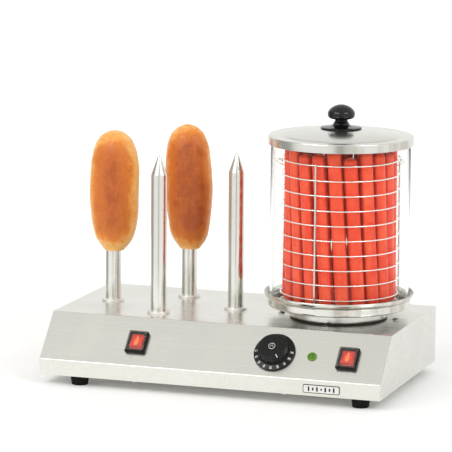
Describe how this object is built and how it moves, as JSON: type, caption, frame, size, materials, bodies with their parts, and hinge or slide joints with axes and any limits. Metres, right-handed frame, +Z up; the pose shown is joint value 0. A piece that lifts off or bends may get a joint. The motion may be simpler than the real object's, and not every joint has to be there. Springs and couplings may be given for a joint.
{
  "type": "hot dog steamer",
  "caption": "Countertop hot dog steamer with heated bun spikes, a glass cylinder over a wire basket of sausages, a knobbed lid and a sloping control panel.",
  "frame": {"origin": "centre of the whole object's footprint, on the surface it stands on", "axes": "+X along the width to the user's right, +Y to the rear, +Z up"},
  "size_m": [0.5, 0.3038, 0.3975],
  "materials": {
    "housing_steel": "satin",
    "fastener_steel": "satin",
    "foot_rubber": "matte",
    "spike_steel": "satin",
    "collar_steel": "satin",
    "heater_steel": "satin",
    "plate_aluminium": "satin",
    "gasket_rubber": "matte",
    "pan_steel": "polished",
    "lid_steel": "satin",
    "borosilicate_glass": "polished",
    "basket_wire": "polished",
    "knob_gloss_black": "gloss",
    "dial_black": "matte",
    "dial_badge": "satin",
    "switch_black": "gloss",
    "rocker_red": "gloss",
    "cover_clear": "gloss",
    "lamp_green": "gloss",
    "inner_plastic": "matte",
    "gland_black": "matte",
    "badge_metal": "satin",
    "earth_brass": "satin",
    "lead_insulation": "satin",
    "sausage_skin": "gloss",
    "bun_crust": "satin"
  },
  "bodies": {
    "housing": {"badge_plate": "badge_metal", "base_plate": "housing_steel", "base_plate_screws": "fastener_steel", "cable_gland": "gland_black", "earth_stud": "earth_brass", "element_bolt": "fastener_steel", "element_clamp": "fastener_steel", "foot_fasteners": "fastener_steel", "foot_front_left": "foot_rubber", "foot_front_right": "foot_rubber", "foot_rear_left": "foot_rubber", "foot_rear_right": "foot_rubber", "gland_nut": "inner_plastic", "heat_shield": "housing_steel", "heating_element": "heater_steel", "hot_plate": "plate_aluminium", "hot_plate_gasket": "gasket_rubber", "hot_plate_screws": "fastener_steel", "housing_wrap": "housing_steel", "lamp_body": "inner_plastic", "lamp_lens": "lamp_green", "lamp_nut": "inner_plastic", "rear_panel": "housing_steel", "rear_panel_screws": "fastener_steel", "side_panel_left": "housing_steel", "side_panel_right": "housing_steel", "spike_collars": "collar_steel", "spike_front": "spike_steel", "spike_heaters": "heater_steel", "spike_left": "spike_steel", "spike_nuts": "fastener_steel", "spike_rear": "spike_steel", "spike_right": "spike_steel", "switch_cover_left": "cover_clear", "switch_cover_right": "cover_clear", "switch_housing_left": "switch_black", "switch_housing_right": "switch_black", "terminal_block": "inner_plastic", "thermostat_body": "inner_plastic", "thermostat_bulb": "heater_steel", "thermostat_nut": "fastener_steel", "wiring_harness": "lead_insulation"},
    "dial": {"dial_knob": "dial_black", "dial_cap": "dial_badge", "thermostat_shaft": "fastener_steel"},
    "switch_left": {"rocker_left": "rocker_red"},
    "switch_right": {"rocker_right": "rocker_red"},
    "water_pan": {"pan": "pan_steel"},
    "glass": {"glass_cylinder": "borosilicate_glass"},
    "basket": {"basket_rings": "basket_wire", "basket_uprights": "basket_wire", "basket_floor": "basket_wire", "basket_eyes": "basket_wire", "sausages": "sausage_skin"},
    "bail": {"bail_handle": "basket_wire"},
    "cover": {"lid": "lid_steel", "lid_knob": "knob_gloss_black", "lid_knob_screw": "fastener_steel"},
    "roll_left": {"bun_left": "bun_crust"},
    "roll_rear": {"bun_rear": "bun_crust"}
  },
  "joints": [
    {"name": "dial_turn", "type": "hinge", "parent": "housing", "child": "dial", "pos_m": [0.09, -0.12497, 0.06455], "axis": [0, -0.7377, 0.6752], "range_deg": [-270, 0]},
    {"name": "switch_left_rock", "type": "hinge", "parent": "housing", "child": "switch_left", "pos_m": [-0.112, -0.12377, 0.06142], "axis": [1, 0, 0], "range_deg": [0, 14]},
    {"name": "switch_right_rock", "type": "hinge", "parent": "housing", "child": "switch_right", "pos_m": [0.1965, -0.12431, 0.06083], "axis": [1, 0, 0], "range_deg": [0, 14]},
    {"name": "roll_left_lift", "type": "slide", "parent": "housing", "child": "roll_left", "axis": [0, 0, 1], "range_m": [0, 0.16]},
    {"name": "roll_rear_lift", "type": "slide", "parent": "housing", "child": "roll_rear", "axis": [0, 0, 1], "range_m": [0, 0.165]},
    {"name": "pan_lift", "type": "slide", "parent": "housing", "child": "water_pan", "axis": [0, 0, 1], "range_m": [0, 0.06]},
    {"name": "glass_lift", "type": "slide", "parent": "water_pan", "child": "glass", "axis": [0, 0, 1], "range_m": [0, 0.06]},
    {"name": "basket_lift", "type": "slide", "parent": "glass", "child": "basket", "axis": [0, 0, 1], "range_m": [0, 0.25]},
    {"name": "cover_lift", "type": "slide", "parent": "basket", "child": "cover", "axis": [0, 0, 1], "range_m": [0, 0.15]},
    {"name": "bail_swing", "type": "hinge", "parent": "basket", "child": "bail", "pos_m": [0.141, 0.0099, 0.3173], "axis": [0.9511, 0.309, 0], "range_deg": [0, 110]}
  ],
  "couplings": [
    {"joint": "bail_swing", "follows": "cover_lift", "rad_per_m": 12.7}
  ]
}
